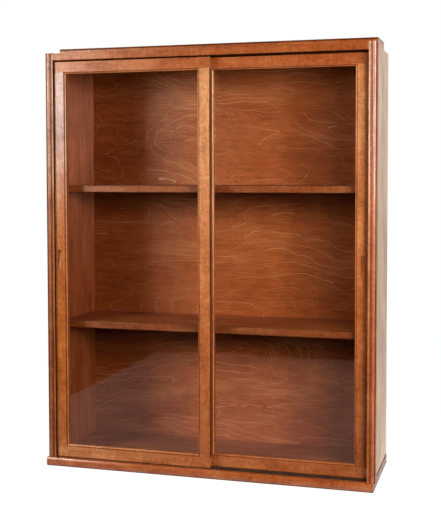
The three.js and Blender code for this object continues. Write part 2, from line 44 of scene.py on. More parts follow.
# How much light comes from behind and from the right, and how narrow those directions are
BACKDROP_GLOW = 2.2
SIDE_GLOW = 0.9
GLOW_NARROWNESS = 3.0
# Name, middle, width and height, power
LAMPS = [
    ("softbox_left", (-1.65, -1.86, 1.245), (0.8, 0.7), 36.0),
    ("softbox_right", (1.55, -1.86, 1.18), (1.2, 0.85), 46.0),
]
# Where the lamps are aimed: how far below their own height, and how deep
LAMP_DROP = 0.35
LAMP_AIM = -0.1

# The glow that only lacquer and panes see on the table, before the object and from under it on to
# behind it: two depths, and the strength at each
GLOW_BEFORE = (TABLE_FRONT, -0.2, 0.0, 0.22)
GLOW_BEHIND = (-0.24, -0.05, 0.0, 1.9)

# The stain, as red, green and blue, from where the wood took it darkest to where it is palest
STAIN_DARK = (0.24, 0.044, 0.008)
STAIN_MIDDLE = (0.48, 0.10, 0.0185)
STAIN_PALE = (0.65, 0.185, 0.05)
STAIN_BRIGHTEST = (0.80, 0.33, 0.14)
# How much paler the thin lines between growth rings are
SEAM_PALENESS = 0.12

# Rotary figure: rings to the metre where it is calm, and how wild it gets between two heights
CALM_RINGS = 17.0
WILD_BELOW = (0.30, 0.48, 21.0, 11.0)
WILD_ABOVE = (0.72, 0.88, 0.0, 7.0)
SMALL_WILDNESS = 0.22
FIBRE_DRIFT = 0.016
# Its lines: their widths, how pale they are, how many fine ones there are to a bold one, and the
# slopes where they fade and where they crowd
BOLD_LINE = 0.0012
BOLD_PALENESS = 1.25
FINE_LINE = 0.0010
FINE_PALENESS = 0.50
FINE_RINGS = 5.0
SLOPE_STEP = 0.005
LEAST_SLOPE = 4.0
LEVEL_SLOPE = (9.0, 20.0)
CROWDED_SLOPE = (60.0, 160.0)

# The worn edges of the wood and of the small pieces, and how sharp an edge is to get one
ARRIS_WIDTH = 0.0007
SMALL_ARRIS = 0.0002
ARRIS_ANGLE = math.radians(40)
# What counts as one point, as one flat, and as a smooth round
WELD_REACH = 0.00002
FLAT_ANGLE = math.radians(0.5)
SMOOTH_ANGLE = math.radians(32)


class Nodes:
    """Adds nodes to one tree. An input is a value or another node's socket."""

    def __init__(self, tree):
        self.tree = tree
        tree.nodes.clear()

    def add(self, kind, inputs=None, **settings):
        node = self.tree.nodes.new(kind)
        for name, value in settings.items():
            setattr(node, name, value)
        for name, value in (inputs or {}).items():
            socket = node.inputs[name]
            if isinstance(value, bpy.types.NodeSocket):
                self.tree.links.new(value, socket)
            else:
                socket.default_value = value
        return node

    def math(self, operation, first, second=0.0, third=0.0, clamp=False):
        inputs = {0: first, 1: second, 2: third}
        return self.add("ShaderNodeMath", inputs, operation=operation, use_clamp=clamp).outputs[0]

    def vector(self, operation, first, second):
        inputs = {0: first, 1: second}
        return self.add("ShaderNodeVectorMath", inputs, operation=operation).outputs[0]

    def noise(self, coordinates, stretch, detail=2.0, roughness=0.5, distortion=0.0):
        """Noise between 0 and 1 with stretch cells to the metre on each axis."""
        scaled = self.vector("MULTIPLY", coordinates, stretch)
        inputs = {"Vector": scaled, "Scale": 1.0, "Detail": detail}
        inputs.update({"Roughness": roughness, "Distortion": distortion})
        return self.add("ShaderNodeTexNoise", inputs).outputs[0]

    def layer(self, tone, noise, weight):
        """A tone with a noise added to it, taken about the noise's middle, times a weight."""
        return self.math("MULTIPLY_ADD", self.math("SUBTRACT", noise, 0.5), weight, tone)

    def less(self, mask, loss):
        """1, less a loss where the mask is 1."""
        return self.math("MULTIPLY_ADD", mask, -loss, 1.0)

    def times(self, first, *others):
        """The product of some numbers."""
        for other in others:
            first = self.math("MULTIPLY", first, other)
        return first

    def ramp(self, factor, stops):
        """A colour ramp of (position, colour) stops."""
        node = self.add("ShaderNodeValToRGB", {"Fac": factor})
        elements = node.color_ramp.elements
        while len(elements) < len(stops):
            elements.new(0.5)
        for element, (position, colour) in zip(elements, stops):
            element.position = position
            element.color = (*colour, 1.0)
        return node.outputs["Color"]

    def spread(self, value, low, high, to_low=0.0, to_high=1.0):
        """The value moved from low and high to two other values, smoothly between them."""
        inputs = {"Value": value, "From Min": low, "From Max": high}
        inputs.update({"To Min": to_low, "To Max": to_high})
        node = self.add("ShaderNodeMapRange", inputs, interpolation_type="SMOOTHSTEP")
        return node.outputs["Result"]


def new_figure(name):
    """A node group that gives the wood's tone and height, with what adds its nodes and its place."""
    tree = bpy.data.node_groups.new(name, "ShaderNodeTree")
    tree.interface.new_socket("Vector", in_out="INPUT", socket_type="NodeSocketVector")
    for label in ("Tone", "Height"):
        tree.interface.new_socket(label, in_out="OUTPUT", socket_type="NodeSocketFloat")
    n = Nodes(tree)
    return n, n.add("NodeGroupInput").outputs["Vector"]


def finish_figure(n, tone, height):
    """Adds the output of a figure's node group, and gives the group."""
    n.add("NodeGroupOutput", {"Tone": tone, "Height": height})
    return n.tree


def ring_seams(n, field, rings, width):
    """Thin lines on the growth rings that a field of noise stands for."""
    return n.spread(n.math("PINGPONG", n.math("MULTIPLY", field, rings), 0.5), 0.0, width, 1.0, 0.0)


def solid_figure():
    """Solid birch along X: clouds of stain, bars and curls across it, fibres and short dark flecks."""
    n, place = new_figure("solid_birch_figure")
    clouds = n.noise(place, (9.0, 26.0, 26.0), detail=3.0, roughness=0.55, distortion=0.5)
    bars = n.noise(place, (80.0, 22.0, 22.0), detail=1.5, distortion=1.2)
    curls = n.noise(place, (95.0, 75.0, 75.0), detail=2.0, roughness=0.6, distortion=1.4)
    fibres = n.noise(place, (22.0, 300.0, 300.0), detail=3.0, roughness=0.65)
    flecks = n.noise(place, (90.0, 330.0, 330.0), detail=1.0)
    field = n.noise(place, (1.3, 17.0, 17.0), detail=1.5, distortion=0.25)
    tone = n.layer(0.5, clouds, 1.3)
    tone = n.layer(tone, bars, 0.5)
    tone = n.layer(tone, curls, 0.85)
    tone = n.layer(tone, fibres, 0.65)
    tone = n.math("MULTIPLY_ADD", n.spread(flecks, 0.62, 0.76), -0.35, tone)
    tone = n.math("MULTIPLY_ADD", ring_seams(n, field, 9.0, 0.10), SEAM_PALENESS, tone)
    return finish_figure(n, tone, n.math("MULTIPLY_ADD", flecks, -0.4, fibres))


def veneer_figure():
    """Sliced veneer along X: straight streaks and fine grain with a slow figure and small flecks."""
    n, place = new_figure("birch_veneer_figure")
    clouds = n.noise(place, (5.0, 18.0, 18.0), detail=3.0, roughness=0.55, distortion=0.4)
    streaks = n.noise(place, (12.0, 130.0, 130.0), detail=2.0, roughness=0.6, distortion=0.3)
    fibres = n.noise(place, (30.0, 340.0, 340.0), detail=3.0, roughness=0.65)
    flecks = n.noise(place, (70.0, 300.0, 300.0), detail=1.0)
    field = n.noise(place, (0.9, 13.0, 13.0), detail=1.5, distortion=0.3)
    tone = n.layer(0.48, clouds, 1.1)
    tone = n.layer(tone, streaks, 0.8)
    tone = n.layer(tone, fibres, 0.8)
    tone = n.math("MULTIPLY_ADD", n.spread(flecks, 0.60, 0.76), -0.3, tone)
    tone = n.math("MULTIPLY_ADD", ring_seams(n, field, 12.0, 0.12), SEAM_PALENESS, tone)
    return finish_figure(n, tone, n.math("MULTIPLY_ADD", flecks, -0.3, fibres))


def rotary_field(n, place, wildness):
    """Height field of the peeled log: its levels are the growth rings. X is along the grain."""
    drawn = n.noise(place, (14.0, 120.0, 120.0), detail=2.0, roughness=0.6)
    aside = n.math("MULTIPLY", n.math("SUBTRACT", drawn, 0.5), FIBRE_DRIFT)
    offset = n.add("ShaderNodeCombineXYZ", {"X": aside})
    place = n.vector("ADD", place, offset.outputs[0])
    broad = n.noise(place, (1.7, 5.0, 5.0), detail=1.0, roughness=0.4, distortion=0.35)
    small = n.noise(place, (5.5, 17.0, 17.0), detail=1.5, roughness=0.5)
    rise = n.math("MULTIPLY", n.add("ShaderNodeSeparateXYZ", {0: place}).outputs["Z"], CALM_RINGS)
    field = n.layer(rise, broad, wildness)
    return n.layer(field, small, n.math("MULTIPLY", wildness, SMALL_WILDNESS))


def rotary_slope(n, place, wildness, field):
    """How steep the field is at a place, in levels to the metre, and never quite level."""
    right = rotary_field(n, n.vector("ADD", place, (SLOPE_STEP, 0.0, 0.0)), wildness)
    above = rotary_field(n, n.vector("ADD", place, (0.0, 0.0, SLOPE_STEP)), wildness)
    slope_x = n.math("DIVIDE", n.math("SUBTRACT", right, field), SLOPE_STEP)
    slope_z = n.math("DIVIDE", n.math("SUBTRACT", above, field), SLOPE_STEP)
    square = n.math("MULTIPLY_ADD", slope_x, slope_x, n.math("MULTIPLY", slope_z, slope_z))
    return n.math("MAXIMUM", n.math("SQRT", square), LEAST_SLOPE)


def contour_lines(n, field, slope, every, width):
    """Thin lines on the levels of a field, of the same width wherever it is steep or shallow."""
    levels = n.math("MULTIPLY", field, every)
    away = n.math("DIVIDE", n.math("PINGPONG", levels, 0.5), n.math("MULTIPLY", slope, every))
    return n.spread(away, width * 0.2, width, 1.0, 0.0)


def rotary_figure():
    """Rotary-cut birch along X: thin pale contour lines, nested and wild, over level streaks."""
    n, place = new_figure("rotary_birch_figure")
    height = n.add("ShaderNodeSeparateXYZ", {0: place}).outputs["Z"]
    wildness = n.math("ADD", n.spread(height, *WILD_BELOW), n.spread(height, *WILD_ABOVE))
    field = rotary_field(n, place, wildness)
    slope = rotary_slope(n, place, wildness, field)
    steep = n.spread(slope, *LEVEL_SLOPE)
    crowding = n.spread(slope, *CROWDED_SLOPE, 1.0, 0.35)
    fading = n.spread(n.noise(place, (4.0, 12.0, 12.0), detail=2.0), 0.36, 0.60, 0.1, 1.0)
    showing = n.spread(n.noise(place, (5.0, 14.0, 14.0), detail=1.5), 0.34, 0.60)
    bold = n.times(contour_lines(n, field, slope, 1.0, BOLD_LINE), fading, crowding, steep)
    fine = n.times(contour_lines(n, field, slope, FINE_RINGS, FINE_LINE), showing, steep)
    clouds = n.noise(place, (3.0, 8.0, 8.0), detail=3.0, distortion=0.4)
    mottles = n.noise(place, (26.0, 48.0, 48.0), detail=2.0, roughness=0.55, distortion=0.8)
    streaks = n.noise(place, (14.0, 210.0, 210.0), detail=2.0, roughness=0.6)
    fibres = n.noise(place, (30.0, 330.0, 330.0), detail=3.0, roughness=0.62)
    tone = n.layer(0.415, clouds, 0.6)
    tone = n.layer(tone, mottles, 0.45)
    tone = n.layer(tone, streaks, 0.52)
    tone = n.layer(tone, fibres, 0.7)
    tone = n.math("MULTIPLY_ADD", bold, BOLD_PALENESS, tone)
    tone = n.math("MULTIPLY_ADD", fine, FINE_PALENESS, tone)
    return finish_figure(n, tone, n.math("MULTIPLY_ADD", streaks, 0.5, fibres))


FIGURES = {"solid": solid_figure(), "veneer": veneer_figure(), "rotary": rotary_figure()}
# Which of a piece's axes become X, Y and Z of the figure, for the axis that its grain runs along
GRAIN_ORDER = {"x": "XYZ", "z": "ZXY"}


def along_grain(n, grain, shift):
    """The object's own coordinates, turned so that X runs along the grain, and moved by shift."""
    here = n.add("ShaderNodeTexCoord").outputs["Object"]
    parts = n.add("ShaderNodeSeparateXYZ", {0: here}).outputs
    inputs = {number: parts[axis] for number, axis in enumerate(GRAIN_ORDER[grain])}
    return n.vector("ADD", n.add("ShaderNodeCombineXYZ", inputs).outputs[0], shift)


# Roughness, how much wider the highlight is across the fibres, refraction, sheen and its tint, and
# the weight and roughness of the lacquer
FINISHES = {
    "polished": (0.60, 0.86, 1.8, 0.92, (0.96, 0.75, 0.35, 1.0), 0.42, 0.29),
    "lacquered": (0.58, 0.84, 1.8, 0.08, (1.0, 0.70, 0.34, 1.0), 0.88, 0.25),
    "satin": (0.60, 0.86, 1.8, 0.70, (1.0, 0.72, 0.34, 1.0), 0.33, 0.29),
    "eased": (0.48, 0.50, 1.6, 0.38, (1.0, 0.74, 0.46, 1.0), 0.42, 0.15),
    "oiled": (0.60, 0.86, 1.8, 0.92, (1.0, 0.64, 0.26, 1.0), 0.4, 0.29),
    "moulded": (0.55, 0.70, 1.7, 0.8, (1.0, 0.74, 0.44, 1.0), 0.55, 0.20),
    "burnished": (0.55, 0.70, 1.7, 0.9, (1.0, 0.78, 0.52, 1.0), 0.95, 0.20),
    "matt": (0.50, 0.60, 1.5, 0.30, (1.0, 0.80, 0.60, 1.0), 0.3, 0.30),
    "veneer": (0.50, 0.95, 1.6, 0.8, (1.0, 0.92, 0.84, 1.0), 0.2, 0.25),
    "rotary": (0.37, 0.20, 1.5, 0.5, (1.0, 0.84, 0.64, 1.0), 0.0, 0.25),
}
COAT_REFRACTION = 1.65
# How much of its colour the wood keeps: painted shade on undersides, a post's inner side and a stile's
# outer edges; the darker right end of the base board; painted shade on that end's rim and along a foot
UNDERSIDE_SHADE = 0.2
GAP_SHADE = 0.1
EDGE_SHADE = 0.30
END_SHADE = 0.62
END_RIM_SHADE = 0.05
LINE_SHADE = 0.15
# How much of their sheen the inner faces of the sides and the finger pulls keep
INSIDE_SHEEN = 0.35
PULL_SHEEN = 0.5
# The outer sides turn towards yellow, part fading and part painted sheen: what is done to red, green and
# blue
FADING_AND_SHEEN = (0.96, 1.85, 1.2)
# Across a post from its inner side: the flute, between its edges, and the shoulder, and their losses
FLUTE = (0.0050, 0.0113)
# The flute's loss is painted shade
FLUTE_SHADE_LOSS = 0.48
SHOULDER = 0.0190
SHOULDER_LOSS = 0.6
# Across a door's moulding from the pane: the painted highlight on its crest and the painted shade in its
# foot, between their edges
CREST = (0.0003, 0.0021)
CREST_HIGHLIGHT = 0.35
MOULDING_FOOT = (0.0026, 0.0060)
MOULDING_SHADE_LOSS = 0.5
# How high the painted shade along the foot of the base board and of the sides reaches
FOOT_SHADE_HEIGHT = 0.0030
JOINT_LINE = 0.0016
# The crown board's dark band, from one distance below its top to another, and how much of its colour
# is kept in that band, on its top and on its right face
CROWN_BAND = (0.0065, 0.0042)
CROWN_BAND_SHADE = 0.35
CROWN_TOP_SHADE = 0.9
CROWN_END_SHADE = 0.82
# The right stile has the post's shadow painted along its outer edge: how far from that edge
POST_SHADOW_REACH = (0.005, 0.016)
POST_SHADOW_SHADE = 0.62
# The stain of the left door's outer stile is yellower than the rest
STILE_STAIN = (0.98, 1.20, 0.96)
# Painted light and shade along the stiles: two heights, and how much of the colour is kept at each
PAINTED_LIGHT_ALONG_STILES = {
    "left_door_outer_stile": [(0.70, 1.05, 1.08, 0.72)],
    "left_door_inner_stile": [(0.10, 0.50, 0.86, 1.0)],
    "right_door_outer_stile": [(0.15, 0.50, 0.83, 1.12), (0.75, 1.0, 1.0, 0.89)],
}
# The finger pulls: from a stile's outer edge to their middle line, half their width, their height and
# how far they are above the stile's middle. From the middle line: the wall, and the dark line around it
PULL_INSET = 0.0125
PULL_RADIUS = 0.006
PULL_HEIGHT = 0.058
PULL_RISE = 0.00195
PULL_WALL = (0.0052, 0.0062)
PULL_RIM = (0.0050, 0.0069)
PULL_RIM_LOSS = 0.2
# The way along X in which the outer faces of a piece look: those turned towards yellow
OUTWARD = {"left_side_panel": -1.0, "right_side_panel": 1.0, "base_board": 1.0}
# The inner faces of the sides have painted shade low down, between two heights
SIDE_SHADE_HEIGHTS = (0.60, 0.95)
SIDE_SHADE = 0.76
# The tongue on a top rail stands in the dark of its channel
TONGUE_HEIGHT = 0.0102
TONGUE_SHADE = 0.12
# The back has painted shadow at both ends, between two places along X, and close under the shelves: how
# far down, and how much is lost
BACK_LEFT = (-0.42, -0.16)
BACK_LEFT_SHADE = 0.66
BACK_RIGHT = (0.24, 0.42)
BACK_RIGHT_SHADE = 0.82
UNDER_SHELF = {"upper_shelf_board": (0.12, 0.37), "lower_shelf_board": (0.17, 0.42)}


def sheen_direction(n, grain):
    """The direction in the surface, square to the fibres, in which they spread a highlight."""
    fibre = tuple(1.0 if axis == grain else 0.0 for axis in "xyz")
    facing = n.add("ShaderNodeNewGeometry").outputs["Normal"]
    return n.vector("CROSS_PRODUCT", fibre, facing)


def facing_way(n, direction, least, start=0.80, full=0.97):
    """1, falling to least on the faces that look in a direction."""
    facing = n.add("ShaderNodeNewGeometry").outputs["Normal"]
    inputs = {0: facing, 1: direction}
    along = n.add("ShaderNodeVectorMath", inputs, operation="DOT_PRODUCT").outputs["Value"]
    return n.spread(along, start, full, 1.0, least)


def looking(n, direction):
    """1 on the faces that look in a direction, and 0 on the others."""
    return n.math("SUBTRACT", 1.0, facing_way(n, direction, 0.0))


def own_place(n, axis):
    """The object's own X, Y or Z in metres."""
    here = n.add("ShaderNodeTexCoord").outputs["Object"]
    return n.add("ShaderNodeSeparateXYZ", {0: here}).outputs[axis]


def between(n, value, low, high, soft=0.0012):
    """1 between two values and 0 outside them."""
    rising = n.spread(value, low - soft / 2, low + soft / 2)
    return n.math("MULTIPLY", rising, n.spread(value, high - soft / 2, high + soft / 2, 1.0, 0.0))


def post_shade(n, name):
    """Painted shade in a post's flute and on its inner side, and a darker shoulder."""
    side = 1.0 if name.startswith("right") else -1.0
    low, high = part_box(name)
    inner = low[0] if side > 0 else high[0]
    across = n.math("MULTIPLY", n.math("SUBTRACT", own_place(n, "X"), inner), side)
    flute = between(n, across, *FLUTE, soft=0.0022)
    shoulder = n.spread(across, SHOULDER - 0.0008, SHOULDER + 0.0006)
    inner_side = facing_way(n, (-side, 0.0, 0.0), GAP_SHADE)
    return n.times(n.less(flute, FLUTE_SHADE_LOSS), n.less(shoulder, SHOULDER_LOSS), inner_side)


def foot_shade(n, name, rise):
    """Painted shade in a line along the foot of a piece."""
    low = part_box(name)[0][2]
    return n.spread(own_place(n, "Z"), low + rise * 0.4, low + rise, LINE_SHADE, 1.0)


def pull_distance(n, name):
    """How far a place on an outer stile is from the middle line of its finger pull."""
    low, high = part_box(name)
    middle = low[0] + PULL_INSET if name.startswith("left") else high[0] - PULL_INSET
    across = n.math("SUBTRACT", own_place(n, "X"), middle)
    height = own_place(n, "Z")
    half = PULL_HEIGHT / 2 - PULL_RADIUS
    centre = (low[2] + high[2]) / 2 + PULL_RISE
    foot, head = centre - half, centre + half
    nearest = n.math("MINIMUM", n.math("MAXIMUM", height, foot), head)
    along = n.math("SUBTRACT", height, nearest)
    square = n.math("MULTIPLY_ADD", across, across, n.math("MULTIPLY", along, along))
    return n.math("SQRT", square)


def moulding_shade_and_highlight(n, name):
    """A door's stile or rail: painted shade in the moulding's foot, and a painted highlight on its
    crest.
    """
    low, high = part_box(name)
    axis, index = ("Z", 2) if name.endswith("_rail") else ("X", 0)
    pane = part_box(name.split("_door_")[0] + "_door_glass")
    pane_above = (pane[0][index] + pane[1][index]) > (low[index] + high[index])
    inner, side = (high[index], -1.0) if pane_above else (low[index], 1.0)
    away = n.math("MULTIPLY", n.math("SUBTRACT", own_place(n, axis), inner), side)
    shade = n.less(between(n, away, *MOULDING_FOOT), MOULDING_SHADE_LOSS)
    return n.math("MULTIPLY_ADD", between(n, away, *CREST, soft=0.0008), CREST_HIGHLIGHT, shade)


def edge_shade(n, name):
    """Painted shade on the outer edges of a stile, but not on the walls of its finger pull."""
    low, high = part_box(name)
    right = facing_way(n, (1.0, 0.0, 0.0), EDGE_SHADE, 0.93, 0.99)
    left = facing_way(n, (-1.0, 0.0, 0.0), EDGE_SHADE, 0.93, 0.99)
    within = between(n, own_place(n, "X"), low[0] + 0.001, high[0] - 0.001, soft=0.0004)
    return n.math("MAXIMUM", within, n.math("MULTIPLY", right, left))


def door_shades(n, name):
    """What the shade of a door's stile or rail is made of."""
    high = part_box(name)[1]
    shades = [moulding_shade_and_highlight(n, name)]
    if name.endswith("_stile"):
        shades.append(edge_shade(n, name))
    if name.endswith("_top_rail"):
        foot = high[2] - TONGUE_HEIGHT
        shades.append(n.spread(own_place(n, "Z"), foot - 0.0006, foot + 0.0002, 1.0, TONGUE_SHADE))
    if name.endswith("_outer_stile"):
        rim = between(n, pull_distance(n, name), *PULL_RIM, soft=0.0008)
        shades.append(n.less(rim, PULL_RIM_LOSS))
    # Painted shadow of the post along the right stile's outer edge
    if name == "right_door_outer_stile":
        from_post = n.math("SUBTRACT", high[0], own_place(n, "X"))
        shades.append(n.spread(from_post, *POST_SHADOW_REACH, POST_SHADOW_SHADE, 1.0))
    return shades


def crown_shades(n, name):
    """A dark band along the crown board's upper edge, and slightly darker top and right faces."""
    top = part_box(name)[1][2]
    start, end = CROWN_BAND
    band = n.spread(own_place(n, "Z"), top - start, top - end, 1.0, CROWN_BAND_SHADE)
    upward = n.math("SUBTRACT", CROWN_TOP_SHADE, facing_way(n, (0.0, 0.0, 1.0), 0.0))
    return [n.math("MAXIMUM", band, upward), facing_way(n, (1.0, 0.0, 0.0), CROWN_END_SHADE)]


def side_shades(n, name):
    """Painted shade in a line along a side's foot, and low down on its inner face."""
    inward = facing_way(n, (-OUTWARD[name], 0.0, 0.0), 0.0)
    low_down = n.spread(own_place(n, "Z"), *SIDE_SHADE_HEIGHTS, SIDE_SHADE, 1.0)
    return [foot_shade(n, name, JOINT_LINE), n.math("MAXIMUM", low_down, inward)]


def end_shade(n, name):
    """The sawn right end of the base board: open pores in lines, and painted shade along its edges."""
    low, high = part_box(name)
    here = n.add("ShaderNodeTexCoord").outputs["Object"]
    pores = n.spread(n.noise(here, (10.0, 330.0, 60.0), detail=1.0), 0.46, 0.60, 1.0, 0.35)
    within = between(n, own_place(n, "Z"), low[2] + 0.003, high[2] - 0.002)
    rim = n.math("MULTIPLY_ADD", within, END_SHADE - END_RIM_SHADE, END_RIM_SHADE)
    elsewhere = facing_way(n, (1.0, 0.0, 0.0), 0.0)
    return n.math("MAXIMUM", n.math("MULTIPLY", pores, rim), elsewhere)


def back_shade(n):
    """The back panel, with painted shadow at its ends and, in front, close under the shelves."""
    height, across = own_place(n, "Z"), own_place(n, "X")
    front = looking(n, (0.0, -1.0, 0.0))
    left = n.spread(across, *BACK_LEFT, BACK_LEFT_SHADE, 1.0)
    shades = [left, n.spread(across, *BACK_RIGHT, 1.0, BACK_RIGHT_SHADE)]
    for shelf, (reach, loss) in UNDER_SHELF.items():
        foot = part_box(shelf)[0][2]
        near = n.spread(height, foot - reach, foot - 0.01)
        below = n.spread(height, foot, foot + 0.002, 1.0, 0.0)
        shades.append(n.less(n.times(near, front, below), loss))
    return n.times(*shades)


def wood_shade(n, name):
    """How much of its colour the wood keeps, from 1 down to almost none: mostly painted shade."""
    # Painted shade on the faces that look down
    shades = [facing_way(n, (0.0, 0.0, -1.0), UNDERSIDE_SHADE)]
    if name.endswith("_post"):
        shades.append(post_shade(n, name))
    if name == "base_board":
        # Painted shade along the base board's foot, and its sawn end
        shades += [foot_shade(n, name, FOOT_SHADE_HEIGHT), end_shade(n, name)]
    if name == "crown_board":
        shades += crown_shades(n, name)
    if name.endswith("_side_panel"):
        shades += side_shades(n, name)
    if name.endswith(("_rail", "_stile")) and "_door_" in name:
        shades += door_shades(n, name)
    if name == "back_panel":
        shades.append(back_shade(n))
    return n.times(*shades)


def wood_gloss(n, name, shade, tone):
    """How much of its sheen and lacquer the wood keeps: little where it is dark or wasn't polished."""
    gloss = n.times(n.math("POWER", shade, 2.0), n.spread(tone, 0.0, 1.0, 0.6, 1.4))
    if name.endswith("_side_panel"):
        gloss = n.times(gloss, facing_way(n, (-OUTWARD[name], 0.0, 0.0), INSIDE_SHEEN))
    if name.endswith("_outer_stile"):
        gloss = n.times(gloss, n.spread(pull_distance(n, name), *PULL_WALL, PULL_SHEEN, 1.0))
    return gloss


def fading_and_sheen(n, name, colour):
    """The colour, turned towards yellow on the outer sides and the right end of the base board: partly
    fading, partly painted sheen.
    """
    outer = looking(n, (OUTWARD[name], 0.0, 0.0))
    change = tuple(channel - 1.0 for channel in FADING_AND_SHEEN)
    scaled = n.add("ShaderNodeVectorMath", {0: change, "Scale": outer}, operation="SCALE").outputs[0]
    return n.vector("MULTIPLY", colour, n.vector("ADD", scaled, (1.0, 1.0, 1.0)))


def stain(n, tone, paleness):
    """The stain's colour for a figure's tone. The lower paleness is, the darker it took."""
    stops = [(0.0, STAIN_DARK), (0.25, STAIN_MIDDLE), (0.5, STAIN_PALE), (1.0, STAIN_BRIGHTEST)]
    shades = [(position, tuple(channel * paleness for channel in colour)) for position, colour in stops]
    return n.ramp(n.math("MULTIPLY", tone, 0.5), shades)


def wood_colour(n, name, shade, tone, paleness):
    """The stain of a piece, with what its shade, mostly painted, the yellowing and the painted light and
    shade along the stiles do to it.
    """
    colour = n.vector("MULTIPLY", stain(n, tone, paleness), shade)
    # Yellower outer faces: partly fading, partly painted sheen
    if name in OUTWARD:
        colour = fading_and_sheen(n, name, colour)
    if name == "left_door_outer_stile":
        colour = n.vector("MULTIPLY", colour, STILE_STAIN)
    # Painted light and shade along the stiles
    for limits in PAINTED_LIGHT_ALONG_STILES.get(name, []):
        colour = n.vector("MULTIPLY", colour, n.spread(own_place(n, "Z"), *limits))
    return colour


def new_material(name):
    """A material without nodes, and what adds them."""
    material = bpy.data.materials.new(name)
    material.use_nodes = True
    return material, Nodes(material.node_tree)


def finish_material(n, inputs):
    """Adds the surface, with the inputs that it doesn't have by default."""
    shader = n.add("ShaderNodeBsdfPrincipled", inputs)
    n.add("ShaderNodeOutputMaterial", {"Surface": shader.outputs[0]})


def birch(name, figure, finish, grain, shift, paleness):
    """Stained and lacquered birch. Where the wood is dark it is dull too."""
    rough, across, refraction, sheen, tint, coat, coat_rough = FINISHES[finish]
    material, n = new_material(name)
    place = along_grain(n, grain, shift)
    group = n.add("ShaderNodeGroup", node_tree=FIGURES[figure])
    n.tree.links.new(place, group.inputs["Vector"])
    tone, height = group.outputs["Tone"], group.outputs["Height"]
    shade = wood_shade(n, name)
    gloss = wood_gloss(n, name, shade, tone)
    wear = n.noise(place, (11.0, 30.0, 30.0), detail=2.0)
    grooves = {"Height": height, "Strength": 0.09, "Distance": 0.0006}
    inputs = {
        "Base Color": wood_colour(n, name, shade, tone, paleness),
        "Roughness": n.spread(wear, 0.3, 0.7, rough - 0.05, rough + 0.07),
        "Normal": n.add("ShaderNodeBump", grooves).outputs[0],
        "IOR": refraction,
        "Coat Weight": n.math("MULTIPLY", gloss, coat, clamp=True) if coat else 0.0,
        "Coat Roughness": coat_rough,
        "Coat IOR": COAT_REFRACTION,
        "Specular IOR Level": n.math("MULTIPLY", gloss, sheen),
        "Specular Tint": tint,
        "Anisotropic": across,
        "Tangent": sheen_direction(n, grain),
    }
    finish_material(n, inputs)
    return material


def worn_arris():
    """The edges, where the stain and lacquer are a little thinner."""
    material, n = new_material("worn_arris")
    here = n.add("ShaderNodeTexCoord").outputs["Object"]
    patches = n.noise(here, (22.0, 22.0, 22.0), detail=3.0, roughness=0.6)
    fine = n.noise(here, (260.0, 260.0, 260.0), detail=2.0)
    tone = n.layer(patches, fine, 0.5)
    stops = [(0.3, (0.24, 0.062, 0.016)), (0.55, (0.43, 0.13, 0.034)), (0.85, (0.62, 0.27, 0.10))]
    inputs = {
        "Base Color": n.ramp(tone, stops),
        "Roughness": n.spread(patches, 0.3, 0.7, 0.30, 0.44),
        "Coat Weight": 0.25,
        "Coat Roughness": 0.22,
    }
    finish_material(n, inputs)
    return material


def window_glass():
    """Clear float glass that a wipe has left a little uneven. Lamps shine through it."""
    material, n = new_material("window_glass")
    here = n.add("ShaderNodeTexCoord").outputs["Object"]
    wiped = n.noise(here, (5.0, 5.0, 7.0), detail=5.0, roughness=0.7)
    stops = [(0.3, (0.985, 0.99, 0.985)), (0.75, (0.93, 0.94, 0.935))]
    inputs = {
        "Base Color": n.ramp(wiped, stops),
        "Roughness": 0.0,
        "Transmission Weight": 1.0,
        "IOR": 1.5,
    }
    pane = n.add("ShaderNodeBsdfPrincipled", inputs).outputs[0]
    clear = n.add("ShaderNodeBsdfTransparent", {"Color": (0.96, 0.98, 0.97, 1.0)}).outputs[0]
    path = n.add("ShaderNodeLightPath").outputs
    unseen = n.math("MAXIMUM", path["Is Shadow Ray"], path["Is Diffuse Ray"])
    mixed = n.add("ShaderNodeMixShader", {0: unseen, 1: pane, 2: clear}).outputs[0]
    n.add("ShaderNodeOutputMaterial", {"Surface": mixed})
    return material


def plastic():
    """Dark brown extruded plastic with drawn lines along it and rubbed places."""
    material, n = new_material("dark_plastic")
    here = n.add("ShaderNodeTexCoord").outputs["Object"]
    lines = n.noise(here, (6.0, 900.0, 900.0), detail=2.0)
    rubbed = n.noise(here, (30.0, 200.0, 200.0), detail=3.0)
    stops = [(0.35, (0.040, 0.016, 0.008)), (0.75, (0.100, 0.045, 0.026))]
    grooves = {"Height": lines, "Strength": 0.15, "Distance": 0.0003}
    inputs = {
        "Base Color": n.ramp(rubbed, stops),
        "Roughness": n.spread(rubbed, 0.3, 0.7, 0.38, 0.55),
        "Normal": n.add("ShaderNodeBump", grooves).outputs[0],
        "Specular IOR Level": 0.12,
    }
    finish_material(n, inputs)
    return material


def zinc():
    """Zinc-plated steel with a cloudy, slightly yellowed plating."""
    material, n = new_material("zinc_plated_steel")
    here = n.add("ShaderNodeTexCoord").outputs["Object"]
    clouds = n.noise(here, (420.0, 420.0, 420.0), detail=3.0)
    stops = [(0.3, (0.42, 0.41, 0.38)), (0.7, (0.68, 0.66, 0.60))]
    inputs = {
        "Base Color": n.ramp(clouds, stops),
        "Metallic": 1.0,
        "Roughness": n.spread(clouds, 0.3, 0.7, 0.26, 0.42),
    }
    finish_material(n, inputs)
    return material


